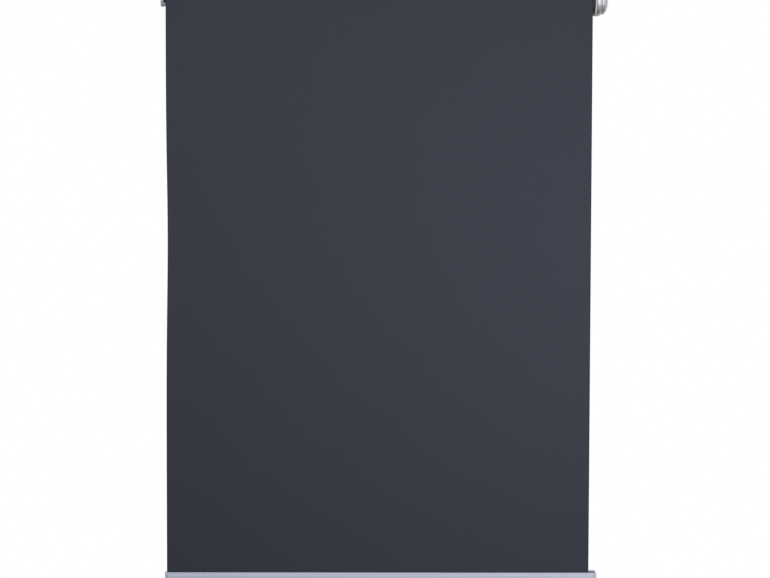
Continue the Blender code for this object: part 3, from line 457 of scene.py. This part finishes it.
# %% [markdown]
# ### Metals
# Anodised aluminium is drawn through a die, which leaves long hairs along X, and the anodising makes them
# satin. Chrome is nearly a mirror, with only a breath of haze. Zinc plating is mottled. Spring wire is darker
# and oiled. All are metallic, so their colour is the colour of what they mirror.

# %% Finishes of the metals


def metal(name, colour, worn_and_highlit, roughness, size, depth, swing=0.06):
    """A metal with grain of the given size in its relief and roughness, and a paler edge line in its colour
    that is partly wear and partly painted highlight.
    """
    made, shader, place = new_finish(name, roughness, 1.0)
    grain = put_group(made, grain_group, place, Size=size)
    edges = put_group(made, edge_group, place)
    dulled = tuple(0.90 * c for c in colour)
    tone = blend_colours(made, spread(made, grain.outputs["Blotch"], 0.0, 1.0), dulled, colour)
    # Painted highlight, partly wear: every edge gets a paler colour.
    colours = blend_colours(made, edges.outputs["Edge"], tone, worn_and_highlit)
    made.node_tree.links.new(colours, shader.inputs["Base Color"])
    rough = spread(made, grain.outputs["Grain"], roughness - swing, roughness + swing)
    made.node_tree.links.new(rough, shader.inputs["Roughness"])
    relief(made, shader, grain.outputs["Grain"], depth, 0.4)
    return made


anodised = metal(
    "anodised_aluminium", (0.66, 0.70, 0.84), (0.85, 0.87, 0.93), 0.40, (14, 5200, 5200), 0.00002
)
chrome = metal("chrome_plate", (0.86, 0.86, 0.88), (0.93, 0.93, 0.94), 0.07, (420, 420, 420), 0.000001, 0.02)
zinc = metal("zinc_plated_steel", (0.60, 0.61, 0.62), (0.82, 0.82, 0.82), 0.34, (900, 900, 900), 0.00001)
spring_wire = metal(
    "oiled_spring_wire", (0.26, 0.27, 0.29), (0.50, 0.50, 0.51), 0.30, (300, 2600, 2600), 0.00001
)
print("metals:", [m.name for m in (anodised, chrome, zinc, spring_wire)])

# %% [markdown]
# ### Plastics and paint
# Moulded plastic takes the fine spark-eroded texture of its mould, which gives a soft shine without a sharp
# mirror image. Powder paint is smoother but has a gentle orange peel, so its relief is wider and lower. One
# helper makes them all from a colour, a grain size and a relief depth.

# %% Finishes of the plastics and the paint


def moulded(name, colour, light, roughness, size, depth):
    """Plastic or paint with a fine texture, slightly uneven in colour, with a paler edge line that is partly
    wear and partly painted highlight.
    """
    made, shader, place = new_finish(name, roughness)
    grain = put_group(made, grain_group, place, Size=(size, size, size))
    edges = put_group(made, edge_group, place)
    tone = blend_colours(made, spread(made, grain.outputs["Blotch"], 0.0, 1.0), colour, light)
    # Painted highlight, partly wear: every edge gets a paler colour.
    worn_and_highlit = tuple(min(1.0, 1.35 * c + 0.02) for c in light)
    colours = blend_colours(made, edges.outputs["Edge"], tone, worn_and_highlit)
    made.node_tree.links.new(colours, shader.inputs["Base Color"])
    rough = spread(made, grain.outputs["Grain"], roughness - 0.08, roughness + 0.08)
    made.node_tree.links.new(rough, shader.inputs["Roughness"])
    relief(made, shader, grain.outputs["Grain"], depth, 0.5)
    return made


pale_plastic = moulded("pale_grey_plastic", (0.50, 0.51, 0.53), (0.56, 0.57, 0.59), 0.45, 2600, 0.00002)
silver_plastic = moulded("silver_grey_plastic", (0.52, 0.54, 0.60), (0.58, 0.60, 0.66), 0.42, 2600, 0.00002)
grey_plastic = moulded("mid_grey_plastic", (0.24, 0.245, 0.30), (0.27, 0.275, 0.33), 0.45, 2600, 0.00002)
dark_plastic = moulded("dark_grey_plastic", (0.032, 0.034, 0.038), (0.040, 0.042, 0.047), 0.5, 2600, 0.00002)
powder_paint = moulded("pale_powder_paint", (0.48, 0.48, 0.49), (0.53, 0.53, 0.54), 0.38, 900, 0.00003)
welt_plastic = moulded("dark_welt_plastic", (0.035, 0.037, 0.042), (0.042, 0.044, 0.050), 0.5, 1500, 0.00001)
white_tape = moulded("white_tape", (0.70, 0.70, 0.66), (0.78, 0.78, 0.75), 0.6, 1800, 0.00002)
finishes = {
    "chrome_cover": chrome,
    "aluminium": anodised,
    "silver_plastic": silver_plastic,
    "grey_plastic": grey_plastic,
    "pale_plastic": pale_plastic,
    "pale_paint": powder_paint,
    "dark_plastic": dark_plastic,
    "welt_plastic": welt_plastic,
    "zinc_steel": zinc,
    "spring_steel": spring_wire,
    "tape": white_tape,
}
print("finishes:", len(finishes))

# %% [markdown]
# ## Dressing the parts that keep their mesh
# The mechanism inside the roller, the hem strip and the screws are right as they are, so they keep their mesh
# and only get a finish. The record names the finish of every part, which saves a list here.

# %% Give each part its finish
slots = {part["node"]: part["material_slot"] for part in frame["record"]["subparts"]}
bodies = {node: body for body, members in frame["record"]["behaviour"]["bodies"].items() for node in members}
for node, part in nodes.items():
    part.data.materials.clear()
    part.data.materials.append(finishes.get(slots[node], cloth_face))
print("dressed:", len(nodes))

# %% [markdown]
# ## Tools for new pieces
# Most pieces here are either turned about an axis or pulled out of a flat outline. Both start as a chain of
# points that are extruded one from the next, as if drawn by hand in edit mode.

# %% Draw, close and finish


def draw_chain(name, points):
    """A chain of edges through the points, extruded one by one from a single vertex."""
    bpy.ops.object.select_all(action="DESELECT")
    bpy.ops.mesh.primitive_plane_add(size=0.01, location=(0, 0, 0))
    piece = bpy.context.object
    piece.name = piece.data.name = name
    bpy.ops.object.mode_set(mode="EDIT")
    bpy.ops.mesh.merge(type="CENTER")
    bpy.ops.transform.translate(value=points[0])
    for here, there in zip(points, points[1:]):
        step = Vector(there) - Vector(here)
        bpy.ops.mesh.extrude_region_move(TRANSFORM_OT_translate={"value": step})
    bpy.ops.mesh.select_all(action="SELECT")
    return piece


def close_up():
    """Merges doubles and turns every face outwards, then leaves edit mode."""
    bpy.ops.mesh.select_all(action="SELECT")
    bpy.ops.mesh.remove_doubles(threshold=0.000002)
    bpy.ops.mesh.normals_make_consistent(inside=False)
    bpy.ops.object.mode_set(mode="OBJECT")


def turn_on_lathe(name, outline, centre, steps=96):
    """A solid turned about X. The outline lists (x, radius)."""
    piece = draw_chain(name, [(x, centre.y, centre.z + r) for x, r in outline])
    bpy.ops.mesh.spin(steps=steps, angle=2 * math.pi, center=centre, axis=(1, 0, 0))
    close_up()
    return piece


def pull_out(name, outline, start, length):
    """A solid pulled along X from a closed outline, which lists (y, z)."""
    piece = draw_chain(name, [(start, y, z) for y, z in outline])
    bpy.ops.mesh.edge_face_add()
    bpy.ops.mesh.extrude_region_move(TRANSFORM_OT_translate={"value": (length, 0, 0)})
    close_up()
    return piece


def apply_modifier(piece, kind, **settings):
    """Adds a modifier with these settings and applies it."""
    modifier = piece.modifiers.new(kind.lower(), kind)
    for label, value in settings.items():
        setattr(modifier, label, value)
    bpy.context.view_layer.objects.active = piece
    bpy.ops.object.modifier_apply(modifier=modifier.name)


def finish_piece(piece, body, finish, *stands_for, slot=None, smooth=35):
    """Shades the piece, gives it its finish and body, and hides the parts it stands for."""
    bpy.ops.object.select_all(action="DESELECT")
    piece.select_set(True)
    bpy.context.view_layer.objects.active = piece
    bpy.ops.object.transform_apply(location=True, rotation=True, scale=True)
    bpy.ops.object.shade_smooth_by_angle(angle=math.radians(smooth))
    apply_modifier(piece, "WEIGHTED_NORMAL", keep_sharp=True)
    if not piece.data.materials:
        piece.data.materials.append(finish)
    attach(piece, body)
    if stands_for:
        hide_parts(*stands_for)
    print(piece.name, "has", len(piece.data.polygons), "faces")


# %% [markdown]
# ## The hanging cloth
# Real blind cloth hangs almost flat, but never quite: a long roller bends a little, so the cloth has a few
# very long soft waves, and its edges cup. A simulation would only find the same shape slowly. Here a fine
# grid is moved point by point, and Solidify gives it its thickness, with the reverse in its own material.

# %% Model the hanging cloth
low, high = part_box("fabric_hanging")
CLOTH_THICK = 0.00045
TUCKED_IN = 0.0016  # how far the cloth's end reaches into the bar's slot
WAVE = 0.00045
CUPPED_FROM = 0.93  # the share of the half width where the edge's cup begins
DRAWN_IN = 0.0022
DRAWN_IN_FROM = 0.4  # the share of the half width where the drawing in begins
DRAWN_IN_AT = 0.335
DRAWN_IN_REACH = 0.13
middle_y = (low.y + high.y) / 2
width = 2 * cloth_edge
drop = -low.z
bpy.ops.object.select_all(action="DESELECT")
bpy.ops.mesh.primitive_grid_add(
    x_subdivisions=96, y_subdivisions=128, size=1, location=(0, middle_y, -drop / 2)
)
hanging_cloth = bpy.context.object
hanging_cloth.name = hanging_cloth.data.name = "hanging_cloth"
hanging_cloth.rotation_euler = (math.pi / 2, 0, 0)
hanging_cloth.scale = (width, drop + TUCKED_IN, 1)
hanging_cloth.location.z -= TUCKED_IN / 2
bpy.ops.object.transform_apply(location=True, rotation=True, scale=True)
for vertex in hanging_cloth.data.vertices:
    x, z = vertex.co.x, vertex.co.z
    down = min(max(-z / drop, 0), 1)
    held = math.sin(math.pi * down) ** 0.7  # nothing moves at the roller or at the bar
    side = x / cloth_edge
    wave = math.sin(2.1 * side + 0.6) * math.cos(3.4 * down + 0.4) + 0.5 * math.sin(4.3 * side - 1.9 * down)
    cup = max(abs(side) - CUPPED_FROM, 0) / (1 - CUPPED_FROM)
    vertex.co.y -= held * WAVE * (wave + 1.1 * cup**2)
    drawn_in = max(-side - DRAWN_IN_FROM, 0) / (1 - DRAWN_IN_FROM)  # only the left edge, at mid height
    vertex.co.x += DRAWN_IN * drawn_in * math.exp(-(((-z - DRAWN_IN_AT) / DRAWN_IN_REACH) ** 2))
print("grid points:", len(hanging_cloth.data.vertices))

# %% Give the cloth its thickness and its two sides
hanging_cloth.data.materials.append(cloth_face)
hanging_cloth.data.materials.append(cloth_reverse)
facing = sum(face.normal.y for face in hanging_cloth.data.polygons)
if facing > 0:
    hanging_cloth.data.flip_normals()
apply_modifier(
    hanging_cloth, "SOLIDIFY", thickness=CLOTH_THICK, offset=0.0, material_offset=1, material_offset_rim=0
)
finish_piece(hanging_cloth, "frame", cloth_face, "fabric_hanging", slot="cloth", smooth=60)
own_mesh(hanging_cloth)

# %% [markdown]
# ## The wound cloth
# Two turns of cloth stay on the tube when the blind is down. Seen from its end the roll is a spiral, so the
# cloth is drawn as a spiral line, pulled out into a ribbon along the roller, and thickened. Its outer end
# lies exactly where the hanging cloth begins.

# %% Model the wound cloth
low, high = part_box("fabric_roll")
axis = Vector((0, (low.y + high.y) / 2, 0))
outer_radius = axis.y - middle_y
OFF_THE_TUBE = 0.0009  # from the tube to the middle of the innermost turn
inner_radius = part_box("roller_tube")[1].z + OFF_THE_TUBE
TURNS = 2.25
STEPS_PER_TURN = 64
steps = int(TURNS * STEPS_PER_TURN)
spiral = []
for step in range(steps + 1):
    angle = 2 * math.pi * step / STEPS_PER_TURN
    radius = outer_radius + (inner_radius - outer_radius) * step / steps
    spiral.append((low.x, axis.y - radius * math.cos(angle), radius * math.sin(angle)))
wound_cloth = draw_chain("wound_cloth", spiral)
bpy.ops.mesh.extrude_region_move(TRANSFORM_OT_translate={"value": (high.x - low.x, 0, 0)})
bpy.ops.object.mode_set(mode="OBJECT")
wound_cloth.data.materials.append(cloth_face)
wound_cloth.data.materials.append(cloth_reverse)
first = wound_cloth.data.polygons[0]
if first.normal.dot(first.center - Vector((first.center.x, axis.y, 0))) < 0:
    wound_cloth.data.flip_normals()
apply_modifier(
    wound_cloth, "SOLIDIFY", thickness=CLOTH_THICK, offset=0.0, material_offset=1, material_offset_rim=0
)
finish_piece(wound_cloth, "roller", cloth_face, "fabric_roll", slot="cloth", smooth=60)

# %% [markdown]
# ## The chromed end cover
# The cover is a round shell: a wide ring at its foot, a fine groove, and a dome. It is a turned shape, so its
# outline is drawn once and spun about the roller's axis. Chrome shows every flat, so it gets 128 steps.

# %% Model the end cover
low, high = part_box("bracket_cover")
OFF_THE_BRACKET = 0.0003
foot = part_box("bracket_right")[1].x + OFF_THE_BRACKET
crown = high.x
cover_radius = high.z
DOME_RADIUS = 0.0179
DOME_START = 0.0078
DOME_STEPS = 24
SHELL_THICK = 0.0014
dome_depth = crown - foot - DOME_START
outline = [(0, cover_radius - SHELL_THICK), (0, cover_radius - 0.0003), (0.0003, cover_radius)]
outline += [(0.0020, cover_radius), (0.0046, cover_radius - 0.0005), (0.0057, cover_radius - 0.0010)]
outline += [(0.0062, 0.0186), (0.0066, 0.0180), (0.0070, 0.0177), (0.0074, 0.0178)]
for step in range(DOME_STEPS + 1):
    angle = math.pi / 2 * step / DOME_STEPS
    outline.append((DOME_START + dome_depth * math.sin(angle), DOME_RADIUS * math.cos(angle)))
outline[-1] = (DOME_START + dome_depth, 0)
inside = [(x - 0.0013 * (x / (crown - foot)), max(r - SHELL_THICK, 0)) for x, r in outline[5:]]
outline = [(foot + x, r) for x, r in outline + inside[::-1]]
end_cover = turn_on_lathe("end_cover", outline, axis, 128)
finish_piece(end_cover, "frame", chrome, "bracket_cover", slot="chrome_cover", smooth=50)
print("cover is", round(2000 * cover_radius, 1), "mm across")

# %% [markdown]
# ## The bottom bar
# The bar is a long aluminium extrusion, so its outline is drawn once and pulled along X. The outline has the
# rounded top, the slot that grips the hem, and a sloping step along its front. The step leans back, so it
# mirrors the bright upper half of the room as a pale line.

# %% Model the bottom bar
low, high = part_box("bottom_bar")
TOP_ROUND, FOOT_ROUND = 0.0022, 0.0030
SLOT_HALF, SLOT_DEEP, SLOT_EDGE = 0.0009, 0.0036, 0.0002
STEP_TOP, STEP_FOOT, STEP_DEPTH, STEP_EASE = 0.0030, 0.0050, 0.0007, 0.0002


def bar_arc(y, z, radius, start, end, steps):
    """Points of an arc in the bar's outline, with its angles in degrees."""
    angles = [math.radians(start + (end - start) * i / steps) for i in range(steps + 1)]
    return [(y + radius * math.cos(a), z + radius * math.sin(a)) for a in angles]


front, back, top, foot_z = low.y, high.y, high.z, low.z
upper_front = front + STEP_DEPTH
slot_front, slot_back = (front + back) / 2 - SLOT_HALF, (front + back) / 2 + SLOT_HALF
bar_outline = [(slot_front, top - SLOT_DEEP), (slot_front, top - SLOT_EDGE), (slot_front - SLOT_EDGE, top)]
bar_outline += bar_arc(upper_front + TOP_ROUND, top - TOP_ROUND, TOP_ROUND, 90, 180, 8)
bar_outline += [(upper_front, top - STEP_TOP + STEP_EASE), (upper_front, top - STEP_TOP)]
bar_outline += [(upper_front - STEP_EASE / 2, top - STEP_TOP - STEP_EASE)]
bar_outline += [(front + STEP_EASE / 2, top - STEP_FOOT + STEP_EASE), (front, top - STEP_FOOT)]
bar_outline += [(front, top - STEP_FOOT - 2 * STEP_EASE)]
bar_outline += bar_arc(front + FOOT_ROUND, foot_z + FOOT_ROUND, FOOT_ROUND, 180, 270, 10)
bar_outline += bar_arc(back - FOOT_ROUND, foot_z + FOOT_ROUND, FOOT_ROUND, 270, 360, 10)
bar_outline += bar_arc(back - TOP_ROUND, top - TOP_ROUND, TOP_ROUND, 0, 90, 8)
bar_outline += [(slot_back + SLOT_EDGE, top), (slot_back, top - SLOT_EDGE), (slot_back, top - SLOT_DEEP)]
bar_profile = pull_out("bar_profile", bar_outline, low.x, high.x - low.x)
finish_piece(bar_profile, "bar", anodised, "bottom_bar", slot="aluminium", smooth=25)
print("bar is", round(1000 * (high.x - low.x)), "mm long")

# %% [markdown]
# ## Moulded and folded parts
# The caps, brackets, plugs, grip and pin have the right shape already, but their mesh is loose triangles with
# knife-sharp edges. A copy of each is merged, and a very small bevel rounds its edges, because no real edge
# is perfectly sharp and it is the rounding that catches the light.

# %% Refine copies of the parts


def refine(node, name, edge=0.00025):
    """A merged copy of a part with its sharp edges rounded, standing for the part."""
    bpy.ops.object.select_all(action="DESELECT")
    copy = nodes[node].copy()
    copy.data = nodes[node].data.copy()
    copy.parent = None
    for key in list(copy.keys()):
        del copy[key]
    copy.name = copy.data.name = name
    bpy.context.scene.collection.objects.link(copy)
    copy.select_set(True)
    bpy.context.view_layer.objects.active = copy
    bpy.ops.object.mode_set(mode="EDIT")
    bpy.ops.mesh.select_all(action="SELECT")
    bpy.ops.mesh.remove_doubles(threshold=0.000002)
    bpy.ops.object.mode_set(mode="OBJECT")
    if edge:
        apply_modifier(
            copy, "BEVEL", width=edge, segments=2, limit_method="ANGLE", angle_limit=math.radians(32)
        )
    finish_piece(copy, bodies[node], finishes[slots[node]], node, slot=slots[node], smooth=30)
    return copy


for node, name in (
    ("bracket_left", "idle_bracket"),
    ("bracket_right", "spring_bracket"),
    ("bar_cap_left", "left_bar_cap"),
    ("bar_cap_right", "right_bar_cap"),
    ("slot_filler", "slot_end_filler"),
    ("pull_grip", "finger_grip"),
    ("head_plug", "spring_end_plug"),
    ("idle_plug", "idle_end_plug"),
    ("idle_pin", "sprung_pin"),
):
    refine(node, name)

# %% [markdown]
# ## The spring behind the pin
# Pressing the pin squeezes the small spring behind it. A spring held between two faces keeps its turns and
# gets shorter. Here a merged copy stands for the spring, without rounded edges, and gets a mesh of its own.

# %% Copy the pin's spring
pin_coil = refine("pin_spring", "pin_coil", edge=0)
low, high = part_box("pin_spring")
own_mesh(pin_coil)
